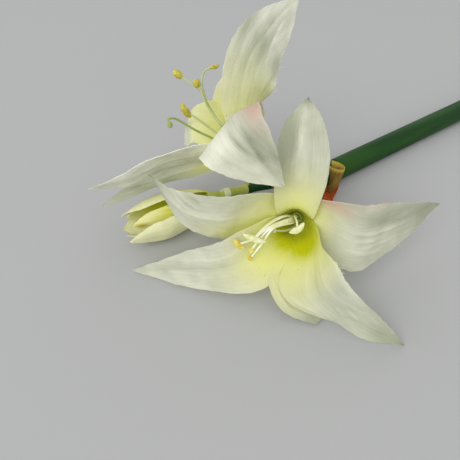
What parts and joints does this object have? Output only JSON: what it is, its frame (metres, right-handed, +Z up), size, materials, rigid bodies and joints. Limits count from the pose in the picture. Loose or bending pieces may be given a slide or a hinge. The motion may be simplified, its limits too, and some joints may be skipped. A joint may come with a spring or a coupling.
{
  "type": "amaryllis stem",
  "caption": "Artificial amaryllis stem lying down: cream silk blooms and a half-open bud on a thick smooth green scape.",
  "frame": {"origin": "on the resting surface, under the middle of the bounding box", "axes": "+X along the scape from the blooms towards its cut end, +Z up from the surface"},
  "size_m": [0.5962, 0.1854, 0.1284],
  "materials": {
    "stem_green": "smooth coated green, satin",
    "throat_pale_green": "moulded, pale yellow-green, satin",
    "petal_silk": "woven silk, cream white with yellow-green bases, matt with loose threads at the edges",
    "bract_tan": "papery, dry, matt",
    "bract_orange_red": "papery, dry, matt",
    "stamen_cream": "moulded cream filaments with yellow anthers"
  },
  "bodies": {
    "root": {"stem": "stem_green", "stalk_a": "stem_green", "throat_a": "throat_pale_green", "stalk_b": "stem_green", "throat_b": "throat_pale_green", "stalk_c": "stem_green", "throat_c": "throat_pale_green", "petal_a1": "petal_silk", "petal_a2": "petal_silk", "petal_a3": "petal_silk", "petal_a4": "petal_silk", "petal_a5": "petal_silk", "petal_a6": "petal_silk", "petal_b1": "petal_silk", "petal_b2": "petal_silk", "petal_b3": "petal_silk", "petal_b4": "petal_silk", "petal_b5": "petal_silk", "petal_b6": "petal_silk", "petal_c1": "petal_silk", "petal_c2": "petal_silk", "petal_c3": "petal_silk", "petal_c4": "petal_silk", "petal_c5": "petal_silk", "petal_c6": "petal_silk", "bract_tan": "bract_tan", "bract_red": "bract_orange_red", "stamens_a": "stamen_cream", "stamens_b": "stamen_cream"}
  },
  "joints": []
}
